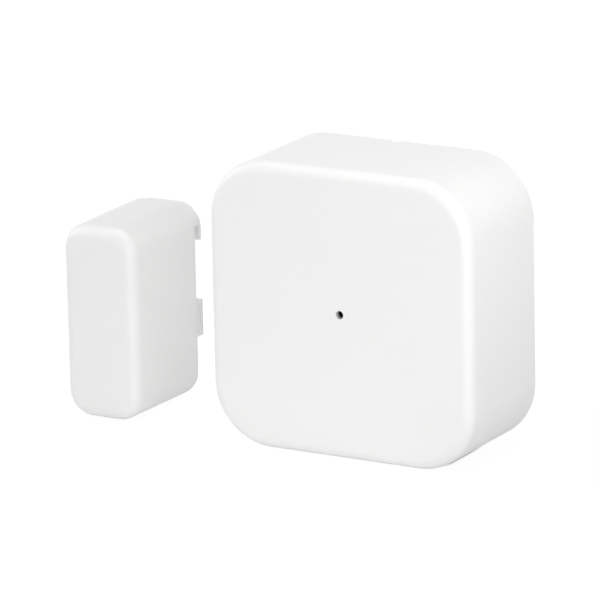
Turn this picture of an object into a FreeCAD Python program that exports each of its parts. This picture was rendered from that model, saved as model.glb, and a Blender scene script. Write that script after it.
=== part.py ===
import FreeCAD, Part
import math
import os
from types import SimpleNamespace

import Sketcher
from FreeCAD import Placement, Rotation, Vector

# Two-part magnetic door sensor: a square sensor unit and a slim magnet unit to its left.
# +Z is up and the front faces -Y. The origin is the middle of the sensor unit's bottom face.

driving_sizes = {
    # Sensor unit, outside
    "body_width": 40.0,
    "body_height": 40.0,
    "body_corner": 8.6,          # radius of the four corners, seen from the front
    "front_round": 1.55,         # rounding of the front edge
    "rear_round": 0.2,
    "side_wall": 1.6,
    "front_wall": 1.6,
    "rim_wall": 0.9,             # thinner wall round the rear cover
    "pinhole_diameter": 1.15,
    "pinhole_x": 0.2,            # from the middle of the front
    "pinhole_z": 0.2,
    "notch_width": 1.3,          # pry notch in the top rear edge
    "notch_depth": 1.0,
    "notch_round": 0.5,
    "notch_x": -0.9,
    # Inside of the front housing
    "well_diameter": 3.6,        # light well behind the pinhole
    "well_depth": 0.45,
    "shroud_wall": 0.8,
    "shroud_gap": 0.2,           # from the shroud's end to the board
    "post_diameter": 3.8,
    "post_height": 3.8,          # from the front wall to the board
    "pilot_gap": 0.05,           # round the screw in its post
    "pilot_room": 0.5,           # below the screw's point
    "pin_diameter": 1.5,         # locating pin on one post
    "pin_proud": 0.5,            # how far the pin stands out behind the board
    "guide_width": 0.8,          # board guides on the side walls
    "guide_shift": 9.0,
    "guide_gap": 0.2,
    "guide_proud": 1.0,          # how far the guides reach behind the board
    # Rear cover
    "cover_thickness": 1.6,
    "cover_gap": 0.1,            # round the cover's edge
    "seat_gap": 0.1,             # between the cover and its ledge
    "skirt_height": 2.2,
    "skirt_thickness": 1.0,
    "skirt_gap": 0.2,
    "snap_width": 4.0,
    "snap_length": 5.0,
    "snap_catch": 0.35,          # how far the catch stands out of the snap arm
    "snap_catch_height": 1.0,
    "snap_catch_drop": 3.0,      # from the cover's inner face to the catch
    "snap_chamfer": 0.25,
    "snap_gap": 0.25,            # round the snap arm in its channel
    "cell_ring_inset": 1.0,      # from the battery clip's tip to the ring
    "cell_ring_wall": 1.0,
    "cell_ring_height": 1.3,
    "cell_ring_gap": 0.2,        # from the ring to the coin cell
    "cover_rib_width": 0.8,
    "cover_rib_height": 0.9,
    "sensor_pad_size": 30.0,
    "sensor_pad_corner": 4.0,
    "sensor_pad_thickness": 1.0,
    "sensor_pad_recess": 0.3,
    "sensor_pad_gap": 0.2,
    # Circuit board and what it carries
    "board_gap": 1.4,            # from the board's edge to the housing's wall
    "board_thickness": 1.0,
    "post_inset": 3.8,           # from the board's edge to the middle of a post
    "screw_hole_gap": 0.15,      # round the screws in the board
    "hole_gap": 0.05,            # round pins and pegs in the board
    "screw_diameter": 1.5,
    "screw_length": 4.3,
    "screw_head_diameter": 3.0,
    "screw_head_height": 1.0,
    "screw_head_round": 0.35,
    "screw_slot_length": 1.7,
    "screw_slot_width": 0.4,
    "screw_slot_depth": 0.5,
    "screw_point": 0.3,
    "reed_inset": 2.4,           # from the board's edge to the reed's axis
    "reed_standoff": 1.4,        # from the board to the reed's axis
    "reed_glass_length": 10.4,
    "reed_glass_diameter": 2.0,
    "reed_glass_round": 0.35,
    "reed_bore_diameter": 1.3,
    "reed_bore_length": 7.6,
    "reed_taper": 0.5,           # length of the bore's tapered ends
    "lead_diameter": 0.5,
    "lead_bend": 0.8,            # radius of the bend, on the lead's axis
    "lead_reach": 9.0,           # from the middle of the reed to the lead's leg
    "lead_tail": 0.6,            # how far the leg stands out behind the board
    "lead_hole_diameter": 0.7,
    "blade_width": 0.8,
    "blade_thickness": 0.2,
    "blade_gap": 0.06,
    "blade_overlap": 1.2,
    "led_width": 1.6,
    "led_height": 0.8,
    "led_base": 0.3,
    "led_lens": 0.3,
    "led_lens_inset": 0.15,
    "chip_size": 5.0,
    "chip_thickness": 0.85,
    "chip_x": 7.5,
    "chip_z": 7.5,
    "chip_mark_diameter": 0.6,
    "chip_mark_depth": 0.1,
    "chip_mark_inset": 0.8,
    "crystal_width": 3.2,
    "crystal_height": 2.5,
    "crystal_base": 0.3,
    "crystal_lid": 0.5,
    "crystal_lid_inset": 0.2,
    "crystal_gap": 0.75,         # from the radio chip to the crystal
    "antenna_width": 7.0,
    "antenna_height": 2.0,
    "antenna_thickness": 0.8,
    "antenna_chamfer": 0.15,
    "antenna_x": -4.0,
    "antenna_inset": 1.8,        # from the board's edge to the antenna's middle
    "small_width": 1.0,          # the smaller of the chip parts
    "small_height": 0.5,
    "small_thickness": 0.5,
    "small_count": 5,
    "small_pitch": 1.7,
    "small_row_z": 3.4,
    "large_width": 1.6,          # the larger of the chip parts
    "large_height": 0.8,
    "large_thickness": 0.8,
    "large_count": 4,
    "large_pitch": 2.3,
    "large_row_z": -4.6,
    "row_start": 4.4,
    # Battery
    "cell_diameter": 24.5,
    "cell_thickness": 7.7,
    "cell_round": 0.5,
    "cell_cap_diameter": 21.2,
    "cell_cap_proud": 0.25,
    "cell_cap_round": 0.2,
    "cell_mouth_round": 0.3,     # the can's front edge
    "cell_seal_width": 0.6,
    "cell_seal_depth": 1.2,
    "holder_gap": 0.25,          # round the coin cell
    "holder_wall": 1.1,
    "holder_floor": 0.8,
    "holder_side": 5.5,          # height of the holder's wall above its floor
    "holder_cutout": 9.0,        # finger gaps left and right
    "cut_past": 1.0,             # how far a cut runs on past what it cuts
    "peg_spacing": 16.0,
    "peg_diameter": 1.6,
    "peg_proud": 0.5,
    "contact_lift": 0.3,         # from the holder's floor to the coin cell
    "contact_thickness": 0.25,
    "negative_width": 3.0,
    "negative_foot": 14.0,       # from one end of the leaf to the other
    "negative_slope_start": 9.0,
    "negative_crown": 2.0,
    "positive_width": 5.0,
    "positive_gap": 0.35,        # from the coin cell's side to the clip
    "positive_reach": 3.6,       # how far the clip reaches over the cell
    "positive_foot": 1.8,
    "contact_gap": 0.4,          # round the contacts in the holder
    # Pairing button
    "button_inset": 3.9,         # from the board's edges to the button's middle
    "button_size": 4.5,
    "button_floor": 0.5,
    "button_plate_thickness": 0.2,
    "button_travel": 0.25,
    "button_stop_gap": 0.05,     # left between the pressed button and the dome
    "dome_diameter": 3.5,
    "dome_gap": 0.15,            # round the dome in its case
    "dome_height": 0.35,
    "dome_thickness": 0.08,
    "dome_crown": 1.2,
    "plunger_diameter": 2.1,
    "plunger_proud": 1.0,
    "plunger_round": 0.2,
    "flange_diameter": 3.2,
    "flange_thickness": 0.4,
    "plunger_gap": 0.05,         # running clearance, on the radius and under the plate
    # Magnet unit
    "unit_gap": 12.8,            # between the two units, as they stand
    "magnet_setback": 1.6,       # how far its front stands behind the sensor's front
    "magnet_width": 11.85,
    "magnet_height": 27.7,
    "magnet_depth": 16.3,
    "magnet_corner": 3.8,
    "magnet_round": 1.7,
    "magnet_rear_round": 0.3,
    "magnet_draft": 0.65,        # degrees
    "magnet_wall": 1.2,
    "magnet_front_wall": 1.5,
    "base_thickness": 1.4,
    "base_gap": 0.1,
    "base_skirt_height": 3.0,
    "base_skirt_wall": 0.8,
    "bar_side_room": 2.925,      # from the unit's side to the bar magnet
    "bar_end_room": 3.85,        # from the unit's top and bottom to the bar magnet
    "bar_thickness": 4.2,
    "bar_chamfer": 0.3,
    "bar_gap": 0.1,
    "cradle_height": 8.0,
    "cradle_wall": 0.9,
    "cradle_ledge": 0.7,
    "hold_rib_width": 0.9,       # ribs in the cover that press on the bar magnet
    "hold_rib_spacing": 12.0,
    "rim_inset": 0.5,            # from the cover's outline to the hooked rim
    "rim_width": 2.0,
    "hook_height": 2.55,         # how far rim and tabs stand out behind the cover
    "hook_slot": 1.6,            # gap under the fingers and tabs
    "hook_round": 0.45,
    "finger_drop": 5.6,          # from the unit's top to the finger's end
    "slot_drop": 3.5,            # from the unit's top to the slot's closed end
    "tab_rise": 8.4,             # from the unit's bottom to the tab
    "tab_height": 5.1,
    "tab_bridge": 0.55,          # solid part at each end of a tab
    "tab_groove": 0.25,          # depth of the shallow groove in its outer side
    "tab_wall": 0.65,            # between that groove and the pocket on the inner side
    "plate_thickness": 2.3,
    "plate_gap": 0.15,
    "plate_bottom": 1.3,         # from the unit's bottom to the wall plate
    "ear_length": 4.3,
    "ear_reach": 0.75,           # how far an ear reaches under its finger
    "ear_thickness": 1.3,
    "slide_gap": 0.1,            # between the wall plate and the magnet base
    "magnet_pad_side": 0.325,    # from the wall plate's side to the pad
    "magnet_pad_end": 1.9,       # from the wall plate's top and bottom to the pad
    "magnet_pad_corner": 1.0,
    "magnet_pad_thickness": 1.0,
}

doc = FreeCAD.newDocument("door_sensor")
sheet = doc.addObject("Spreadsheet::Sheet", "sizes")
for row, (alias, value) in enumerate(driving_sizes.items(), start=1):
    sheet.set("A%d" % row, alias)
    sheet.set("B%d" % row, str(value))
    sheet.setAlias("B%d" % row, alias)
doc.recompute()


class Size:
    # A length: its number, and the expression on the sheet that gives it
    def __init__(self, number, text):
        self.number = number
        self.text = text

    def __add__(self, other):
        other = as_size(other)
        return Size(self.number + other.number, "(%s + %s)" % (self.text, other.text))

    def __sub__(self, other):
        other = as_size(other)
        return Size(self.number - other.number, "(%s - %s)" % (self.text, other.text))

    def __mul__(self, other):
        other = as_size(other)
        return Size(self.number * other.number, "(%s * %s)" % (self.text, other.text))

    def __truediv__(self, other):
        other = as_size(other)
        return Size(self.number / other.number, "(%s / %s)" % (self.text, other.text))

    def __neg__(self):
        return self * -1

    __radd__ = __add__
    __rmul__ = __mul__

    def __rsub__(self, other):
        return as_size(other) - self


def as_size(value):
    if isinstance(value, Size):
        return value
    return Size(float(value), repr(float(value)))


dim = SimpleNamespace(**{
    alias: Size(value, "sizes." + alias) for alias, value in driving_sizes.items()
})

# Places worked out from the driving sizes. A depth is measured from the unit's front face.
# The sensor unit is as deep as the pieces stacked inside it need.
board_front = dim.front_wall + dim.post_height
board_rear = board_front + dim.board_thickness
cell_front = board_rear + dim.holder_floor + dim.contact_lift
cell_rear = cell_front + dim.cell_thickness
cell_radius = dim.cell_diameter / 2
cover_inside = cell_rear + dim.cell_ring_gap + dim.cell_ring_height
ledge_depth = cover_inside - dim.seat_gap
body_depth = cover_inside + dim.cover_thickness
hollow_half_width = dim.body_width / 2 - dim.side_wall
hollow_half_height = dim.body_height / 2 - dim.side_wall
hollow_corner = dim.body_corner - dim.side_wall
board_half_width = hollow_half_width - dim.board_gap
board_half_height = hollow_half_height - dim.board_gap
post_x = board_half_width - dim.post_inset
post_z = board_half_height - dim.post_inset
reed_x = -(board_half_width - dim.reed_inset)
lead_radius = dim.lead_diameter / 2
clip_tip = cell_radius + dim.positive_gap - dim.positive_reach
cavity_radius = dim.dome_diameter / 2 + dim.dome_gap
case_height = (
    dim.button_floor + dim.dome_height + dim.button_stop_gap + dim.button_travel
    + dim.flange_thickness + dim.plunger_gap
)
bar_width = dim.magnet_width - dim.bar_side_room * 2
bar_height = dim.magnet_height - dim.bar_end_room * 2
rim_outer = dim.magnet_width / 2 - dim.rim_inset
rim_inner = rim_outer - dim.rim_width
rim_corner = dim.magnet_corner - dim.rim_inset
rim_inner_corner = rim_corner - dim.rim_width
tab_middle = dim.tab_rise + dim.tab_height / 2 - dim.magnet_height / 2
finger_end = dim.magnet_height / 2 - dim.finger_drop
slot_end = dim.magnet_height / 2 - dim.slot_drop
plate_low = dim.plate_bottom - dim.magnet_height / 2
plate_high = dim.magnet_height / 2 - dim.rim_inset - dim.rim_width - dim.plate_gap
plate_middle = (plate_low + plate_high) / 2
plate_half_width = rim_inner - dim.plate_gap
plate_corner = rim_inner_corner - dim.plate_gap


# Bodies

def place(body, x, y, z):
    body.Placement = Placement(Vector(x.number, y.number, z.number), Rotation())
    body.setExpression("Placement.Base.x", x.text)
    body.setExpression("Placement.Base.y", y.text)
    body.setExpression("Placement.Base.z", z.text)


def sensor_body(label, x=0, depth=0, z=0):
    # Its own origin lies at x and z from the middle of the sensor unit, at this depth
    body = doc.addObject("PartDesign::Body", label)
    body.Label = label
    place(body, as_size(x), depth - body_depth / 2, z + dim.body_height / 2)
    return body


def magnet_body(label):
    # Its own origin is the middle of the magnet unit's front face
    body = doc.addObject("PartDesign::Body", label)
    body.Label = label
    x = -(dim.body_width / 2 + dim.unit_gap + dim.magnet_width / 2)
    place(body, x, dim.magnet_setback - body_depth / 2, dim.magnet_height / 2)
    return body


def origin_feature(body, role):
    return next(feature for feature in body.Origin.OriginFeatures if feature.Role == role)


# Sketches

quarter_turn = math.radians(90)


def plane_sketch(body, plane, offset):
    sketch = body.newObject("Sketcher::SketchObject", body.Label + "_sketch")
    sketch.AttachmentSupport = [(origin_feature(body, plane), "")]
    sketch.MapMode = "FlatFace"
    offset = as_size(offset)
    sketch.AttachmentOffset = Placement(Vector(0, 0, offset.number), Rotation())
    sketch.setExpression("AttachmentOffset.Base.z", offset.text)
    return sketch


def depth_sketch(body, depth):
    # Upright, parallel to the front, with x to the right and y up
    return plane_sketch(body, "XZ_Plane", -as_size(depth))


def fix_distance(sketch, kind, geometry, vertex, value):
    value = as_size(value)
    index = sketch.addConstraint(Sketcher.Constraint(kind, -1, 1, geometry, vertex, value.number))
    sketch.setExpression("Constraints[%d]" % index, value.text)


def fix_radius(sketch, geometry, radius):
    radius = as_size(radius)
    index = sketch.addConstraint(Sketcher.Constraint("Radius", geometry, radius.number))
    sketch.setExpression("Constraints[%d]" % index, radius.text)


def fix_point(sketch, geometry, vertex, x, y):
    fix_distance(sketch, "DistanceX", geometry, vertex, x)
    fix_distance(sketch, "DistanceY", geometry, vertex, y)


def circle(sketch, x, y, radius):
    x = as_size(x)
    y = as_size(y)
    radius = as_size(radius)
    shape = Part.Circle(Vector(x.number, y.number, 0), Vector(0, 0, 1), radius.number)
    index = sketch.addGeometry(shape, False)
    fix_radius(sketch, index, radius)
    fix_point(sketch, index, 3, x, y)


def polygon(sketch, points):
    points = [(as_size(x), as_size(y)) for x, y in points]
    corners = [Vector(x.number, y.number, 0) for x, y in points]
    count = len(corners)
    first = sketch.GeometryCount
    for index in range(count):
        sketch.addGeometry(Part.LineSegment(corners[index], corners[(index + 1) % count]), False)
    for index, (x, y) in enumerate(points):
        following = (index + 1) % count
        sketch.addConstraint(Sketcher.Constraint("Coincident", first + index, 2, first + following, 1))
        fix_point(sketch, first + index, 1, x, y)


def rectangle(sketch, x, y, width, height):
    left = x - width / 2
    right = x + width / 2
    low = y - height / 2
    high = y + height / 2
    polygon(sketch, [(left, low), (right, low), (right, high), (left, high)])


def rounded_rectangle(sketch, x, y, width, height, radius):
    left = as_size(x - width / 2)
    right = as_size(x + width / 2)
    low = as_size(y - height / 2)
    high = as_size(y + height / 2)
    r = radius.number
    x0, x1 = left.number, right.number
    y0, y1 = low.number, high.number
    first = sketch.GeometryCount
    runs = [
        ((x0 + r, y0), (x1 - r, y0)),
        ((x1, y0 + r), (x1, y1 - r)),
        ((x1 - r, y1), (x0 + r, y1)),
        ((x0, y1 - r), (x0, y0 + r)),
    ]
    middles = [(x1 - r, y0 + r), (x1 - r, y1 - r), (x0 + r, y1 - r), (x0 + r, y0 + r)]
    for start, end in runs:
        sketch.addGeometry(Part.LineSegment(Vector(*start, 0), Vector(*end, 0)), False)
    start_angle = -quarter_turn
    for middle in middles:
        corner = Part.Circle(Vector(*middle, 0), Vector(0, 0, 1), r)
        sketch.addGeometry(Part.ArcOfCircle(corner, start_angle, start_angle + quarter_turn), False)
        start_angle += quarter_turn
    for side in range(4):
        line = first + side
        corner = first + 4 + side
        following = first + (side + 1) % 4
        sketch.addConstraint(Sketcher.Constraint("Tangent", line, 2, corner, 1))
        sketch.addConstraint(Sketcher.Constraint("Tangent", corner, 2, following, 1))
        sketch.addConstraint(Sketcher.Constraint("Horizontal" if side % 2 == 0 else "Vertical", line))
        if side > 0:
            sketch.addConstraint(Sketcher.Constraint("Equal", first + 4, corner))
    fix_radius(sketch, first + 4, radius)
    fix_distance(sketch, "DistanceY", first, 1, low)
    fix_distance(sketch, "DistanceX", first + 1, 1, right)
    fix_distance(sketch, "DistanceY", first + 2, 1, high)
    fix_distance(sketch, "DistanceX", first + 3, 1, left)


def side_rectangles(sketch, half_width, half_height, start, end, width, shifts):
    # One rectangle across each side at each shift, from start to end, measured outwards from the side
    for sign in (1, -1):
        for shift in shifts:
            rectangle(sketch, sign * (half_width + (start + end) / 2), shift, end - start, width)
            rectangle(sketch, shift, sign * (half_height + (start + end) / 2), width, end - start)


# Features. Forwards is towards the front face, rearwards away from it. Upwards and downwards are for
# sketches that lie flat.

def add_feature(body, kind, sketch, length, reverse):
    feature = body.newObject("PartDesign::" + kind, body.Label + "_" + kind.lower())
    feature.Profile = (sketch, [""])
    length = as_size(length)
    feature.Length = length.number
    feature.setExpression("Length", length.text)
    feature.Reversed = reverse
    body.Tip = feature
    return feature


def pad_forwards(body, sketch, length):
    return add_feature(body, "Pad", sketch, length, False)


def pad_rearwards(body, sketch, length):
    return add_feature(body, "Pad", sketch, length, True)


def pad_upwards(body, sketch, length):
    return add_feature(body, "Pad", sketch, length, False)


def pad_both_ways(body, sketch, length):
    feature = add_feature(body, "Pad", sketch, length, False)
    feature.SideType = "Symmetric"
    return feature


def cut_forwards(body, sketch, length):
    return add_feature(body, "Pocket", sketch, length, True)


def cut_rearwards(body, sketch, length):
    return add_feature(body, "Pocket", sketch, length, False)


def cut_downwards(body, sketch, length):
    return add_feature(body, "Pocket", sketch, length, False)


def revolve(body, sketch):
    feature = body.newObject("PartDesign::Revolution", body.Label + "_revolution")
    feature.Profile = (sketch, [""])
    feature.ReferenceAxis = (sketch, ["V_Axis"])
    body.Tip = feature
    return feature


def dress_edges(body, kind, size_name, size, pick):
    doc.recompute()
    base = body.Tip
    names = ["Edge%d" % (index + 1) for index, edge in enumerate(base.Shape.Edges) if pick(edge)]
    feature = body.newObject("PartDesign::" + kind, body.Label + "_" + kind.lower())
    feature.Base = (base, names)
    setattr(feature, size_name, size.number)
    feature.setExpression(size_name, size.text)
    body.Tip = feature
    return feature


def round_edges(body, radius, pick):
    return dress_edges(body, "Fillet", "Radius", radius, pick)


def chamfer_edges(body, size, pick):
    return dress_edges(body, "Chamfer", "Size", size, pick)


near = 0.01
samples = 5                      # points looked at along an edge


def lies_at(axis, place_on_axis):
    # True for an edge that lies in the plane at this place on the axis
    number = as_size(place_on_axis).number

    def test(edge):
        return all(abs(point[axis] - number) < near for point in edge.discretize(samples))
    return test


def at_depth(depth):
    return lies_at(1, depth)


# Sensor unit

def front_housing():
    body = sensor_body("front_housing")
    outline = depth_sketch(body, 0)
    rounded_rectangle(outline, 0, 0, dim.body_width, dim.body_height, dim.body_corner)
    pad_rearwards(body, outline, body_depth)
    round_edges(body, dim.front_round, at_depth(0))
    round_edges(body, dim.rear_round, at_depth(body_depth))

    hollow = depth_sketch(body, body_depth)
    rounded_rectangle(hollow, 0, 0, hollow_half_width * 2, hollow_half_height * 2, hollow_corner)
    cut_forwards(body, hollow, body_depth - dim.front_wall)

    seat = depth_sketch(body, body_depth)
    seat_width = dim.body_width - dim.rim_wall * 2
    seat_height = dim.body_height - dim.rim_wall * 2
    rounded_rectangle(seat, 0, 0, seat_width, seat_height, dim.body_corner - dim.rim_wall)
    cut_forwards(body, seat, dim.cover_thickness + dim.seat_gap)

    # Channels for the rear cover's snap arms, and guides for the board
    channels = depth_sketch(body, ledge_depth)
    channel_depth = dim.snap_catch - dim.skirt_gap + dim.snap_gap
    channel_width = dim.snap_width + dim.snap_gap * 2
    side_rectangles(
        channels, hollow_half_width, hollow_half_height, -dim.guide_gap, channel_depth, channel_width, (0,))
    cut_forwards(body, channels, dim.snap_length + dim.snap_gap)

    guides = depth_sketch(body, dim.front_wall)
    guide_height = dim.board_gap - dim.guide_gap
    guide_root = dim.rim_wall / 2
    shifts = (-dim.guide_shift, dim.guide_shift)
    side_rectangles(
        guides, hollow_half_width, hollow_half_height, -guide_height, guide_root, dim.guide_width, shifts)
    pad_rearwards(body, guides, dim.post_height + dim.board_thickness + dim.guide_proud)

    pinhole = depth_sketch(body, 0)
    circle(pinhole, dim.pinhole_x, dim.pinhole_z, dim.pinhole_diameter / 2)
    cut_rearwards(body, pinhole, dim.front_wall)
    well = depth_sketch(body, dim.front_wall)
    circle(well, dim.pinhole_x, dim.pinhole_z, dim.well_diameter / 2)
    cut_forwards(body, well, dim.well_depth)
    shroud = depth_sketch(body, dim.front_wall)
    circle(shroud, dim.pinhole_x, dim.pinhole_z, dim.well_diameter / 2 + dim.shroud_wall)
    circle(shroud, dim.pinhole_x, dim.pinhole_z, dim.well_diameter / 2)
    pad_rearwards(body, shroud, dim.post_height - dim.shroud_gap)

    # Two screw posts, one post with a locating pin, and a plain one behind the pairing button
    posts = depth_sketch(body, dim.front_wall)
    for x_sign, z_sign in ((1, 1), (-1, 1), (-1, -1), (1, -1)):
        circle(posts, post_x * x_sign, post_z * z_sign, dim.post_diameter / 2)
    pad_rearwards(body, posts, dim.post_height)
    pilots = depth_sketch(body, board_front)
    for sign in (1, -1):
        circle(pilots, post_x * sign, post_z * sign, dim.screw_diameter / 2 + dim.pilot_gap)
    cut_forwards(body, pilots, dim.screw_length - dim.board_thickness + dim.pilot_room)
    pin = depth_sketch(body, board_front)
    circle(pin, -post_x, post_z, dim.pin_diameter / 2)
    pad_rearwards(body, pin, dim.board_thickness + dim.pin_proud)

    notch = plane_sketch(body, "XY_Plane", dim.body_height / 2)
    rectangle(notch, dim.notch_x, body_depth, dim.notch_width, dim.notch_depth * 2)
    cut_downwards(body, notch, dim.rim_wall + dim.cover_gap)
    notch_bottom = (body_depth - dim.notch_depth).number

    def is_notch_corner(edge):
        upright = edge.BoundBox.ZLength > near and edge.BoundBox.YLength < near
        return upright and abs(edge.BoundBox.YMin - notch_bottom) < near
    round_edges(body, dim.notch_round, is_notch_corner)
    return body


def rear_cover():
    body = sensor_body("rear_cover")
    edge = dim.rim_wall + dim.cover_gap
    outline = depth_sketch(body, body_depth)
    cover_width = dim.body_width - edge * 2
    cover_height = dim.body_height - edge * 2
    rounded_rectangle(outline, 0, 0, cover_width, cover_height, dim.body_corner - edge)
    pad_forwards(body, outline, dim.cover_thickness)

    skirt = depth_sketch(body, cover_inside)
    skirt_corner = hollow_corner - dim.skirt_gap
    half_width = hollow_half_width - dim.skirt_gap
    half_height = hollow_half_height - dim.skirt_gap
    wall = dim.skirt_thickness
    rounded_rectangle(skirt, 0, 0, half_width * 2, half_height * 2, skirt_corner)
    rounded_rectangle(
        skirt, 0, 0, (half_width - wall) * 2, (half_height - wall) * 2, skirt_corner - wall)
    pad_forwards(body, skirt, dim.skirt_height)

    arms = depth_sketch(body, cover_inside)
    side_rectangles(arms, half_width, half_height, -wall, as_size(0), dim.snap_width, (0,))
    pad_forwards(body, arms, dim.snap_length)
    catch_depth = cover_inside - dim.snap_catch_drop
    catches = depth_sketch(body, catch_depth)
    side_rectangles(catches, half_width, half_height, -wall / 2, dim.snap_catch, dim.snap_width, (0,))
    pad_forwards(body, catches, dim.snap_catch_height)
    catch_front = (catch_depth - dim.snap_catch_height).number
    lip_x = (half_width + dim.snap_catch).number
    lip_z = (half_height + dim.snap_catch).number

    def is_catch_lip(edge):
        box = edge.BoundBox
        flat = box.YLength < near and abs(box.YMin - catch_front) < near
        at_side = box.XLength < near and abs(abs(box.Center.x) - lip_x) < near
        at_end = box.ZLength < near and abs(abs(box.Center.z) - lip_z) < near
        return flat and (at_side or at_end)
    chamfer_edges(body, dim.snap_chamfer, is_catch_lip)

    ring = depth_sketch(body, cover_inside)
    ring_radius = clip_tip - dim.cell_ring_inset
    circle(ring, 0, 0, ring_radius)
    circle(ring, 0, 0, ring_radius - dim.cell_ring_wall)
    pad_forwards(body, ring, dim.cell_ring_height)
    ribs = depth_sketch(body, cover_inside)
    for sign in (1, -1):
        start = ring_radius - dim.cell_ring_wall / 2
        end = half_width - wall / 2
        rectangle(ribs, sign * (start + end) / 2, 0, end - start, dim.cover_rib_width)
        end = half_height - wall / 2
        rectangle(ribs, 0, sign * (start + end) / 2, dim.cover_rib_width, end - start)
    pad_forwards(body, ribs, dim.cover_rib_height)

    recess = depth_sketch(body, body_depth)
    recess_size = dim.sensor_pad_size + dim.sensor_pad_gap * 2
    rounded_rectangle(recess, 0, 0, recess_size, recess_size, dim.sensor_pad_corner + dim.sensor_pad_gap)
    cut_forwards(body, recess, dim.sensor_pad_recess)
    return body


def sensor_adhesive_pad():
    body = sensor_body("sensor_adhesive_pad")
    outline = depth_sketch(body, body_depth - dim.sensor_pad_recess)
    rounded_rectangle(outline, 0, 0, dim.sensor_pad_size, dim.sensor_pad_size, dim.sensor_pad_corner)
    pad_rearwards(body, outline, dim.sensor_pad_thickness)
    return body


def circuit_board():
    body = sensor_body("circuit_board")
    outline = depth_sketch(body, board_front)
    corner = hollow_corner - dim.board_gap
    rounded_rectangle(outline, 0, 0, board_half_width * 2, board_half_height * 2, corner)
    pad_rearwards(body, outline, dim.board_thickness)
    holes = depth_sketch(body, board_front)
    for sign in (1, -1):
        circle(holes, post_x * sign, post_z * sign, dim.screw_diameter / 2 + dim.screw_hole_gap)
        circle(holes, reed_x, dim.lead_reach * sign, dim.lead_hole_diameter / 2)
        circle(holes, dim.peg_spacing / 2 * sign, 0, dim.peg_diameter / 2 + dim.hole_gap)
    circle(holes, -post_x, post_z, dim.pin_diameter / 2 + dim.hole_gap)
    cut_rearwards(body, holes, dim.board_thickness)
    return body


def board_screws():
    body = sensor_body("board_screws")
    for sign in (1, -1):
        shank = depth_sketch(body, board_rear)
        circle(shank, post_x * sign, post_z * sign, dim.screw_diameter / 2)
        pad_forwards(body, shank, dim.screw_length)
        head = depth_sketch(body, board_rear)
        circle(head, post_x * sign, post_z * sign, dim.screw_head_diameter / 2)
        pad_rearwards(body, head, dim.screw_head_height)
    round_edges(body, dim.screw_head_round, at_depth(board_rear + dim.screw_head_height))
    chamfer_edges(body, dim.screw_point, at_depth(board_rear - dim.screw_length))
    for sign in (1, -1):
        arm = dim.screw_slot_length / 2
        half = dim.screw_slot_width / 2
        corners = [
            (arm, half), (half, half), (half, arm), (-half, arm), (-half, half), (-arm, half),
            (-arm, -half), (-half, -half), (-half, -arm), (half, -arm), (half, -half), (arm, -half),
        ]
        cross = depth_sketch(body, board_rear + dim.screw_head_height)
        polygon(cross, [(post_x * sign + x, post_z * sign + z) for x, z in corners])
        cut_forwards(body, cross, dim.screw_slot_depth)
    return body


def reed_glass():
    body = sensor_body("reed_glass", reed_x, board_front - dim.reed_standoff)
    half = dim.reed_glass_length / 2
    outer = dim.reed_glass_diameter / 2
    bore = dim.reed_bore_diameter / 2
    bore_half = dim.reed_bore_length / 2
    taper_start = bore_half - dim.reed_taper
    profile = plane_sketch(body, "XZ_Plane", 0)
    polygon(profile, [
        (lead_radius, -half), (outer, -half), (outer, half), (lead_radius, half),
        (lead_radius, bore_half), (bore, taper_start), (bore, -taper_start), (lead_radius, -bore_half),
    ])
    revolve(body, profile)
    outer_number = outer.number
    half_number = half.number

    def is_outer_end(edge):
        box = edge.BoundBox
        return abs(abs(box.Center.z) - half_number) < near and abs(box.XLength - outer_number * 2) < near
    round_edges(body, dim.reed_glass_round, is_outer_end)
    return body


def reed_lead(label, side):
    # One lead of the reed switch: a flat blade in the glass, and a wire bent down into the board.
    # The upper one has side 1. The lower one is the same turned upside down, with its blade in front.
    body = sensor_body(label, reed_x, board_front - dim.reed_standoff)
    body.Placement = Placement(body.Placement.Base, Rotation(Vector(0, 1, 0), 0 if side > 0 else 180))
    blade = plane_sketch(body, "XY_Plane", -dim.blade_overlap / 2)
    blade_middle = (dim.blade_gap + dim.blade_thickness) / 2 * side
    rectangle(blade, 0, blade_middle, dim.blade_width, dim.blade_thickness)
    blade_end = dim.reed_bore_length / 2 - dim.reed_taper
    pad_upwards(body, blade, blade_end + dim.blade_overlap / 2)

    path = plane_sketch(body, "YZ_Plane", 0)
    bend = dim.lead_bend
    wire_start = blade_end - dim.reed_taper
    bend_start = dim.lead_reach - bend
    leg_end = dim.reed_standoff + dim.board_thickness + dim.lead_tail
    rise = Part.LineSegment(Vector(0, wire_start.number, 0), Vector(0, bend_start.number, 0))
    path.addGeometry(rise, False)
    bend_circle = Part.Circle(Vector(bend.number, bend_start.number, 0), Vector(0, 0, 1), bend.number)
    path.addGeometry(Part.ArcOfCircle(bend_circle, quarter_turn, quarter_turn * 2), False)
    leg_start = Vector(bend.number, dim.lead_reach.number, 0)
    leg = Part.LineSegment(leg_start, Vector(leg_end.number, dim.lead_reach.number, 0))
    path.addGeometry(leg, False)
    path.addConstraint(Sketcher.Constraint("Tangent", 0, 2, 1, 2))
    path.addConstraint(Sketcher.Constraint("Tangent", 1, 1, 2, 1))
    fix_point(path, 0, 1, 0, wire_start)
    fix_radius(path, 1, bend)
    path.addConstraint(Sketcher.Constraint("Vertical", 0))
    fix_point(path, 2, 2, leg_end, dim.lead_reach)
    path.addConstraint(Sketcher.Constraint("Horizontal", 2))

    section = plane_sketch(body, "XY_Plane", wire_start)
    circle(section, 0, 0, lead_radius)
    wire = body.newObject("PartDesign::AdditivePipe", label + "_wire")
    wire.Profile = (section, [""])
    wire.Spine = (path, ["Edge1", "Edge2", "Edge3"])
    body.Tip = wire
    return body


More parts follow.
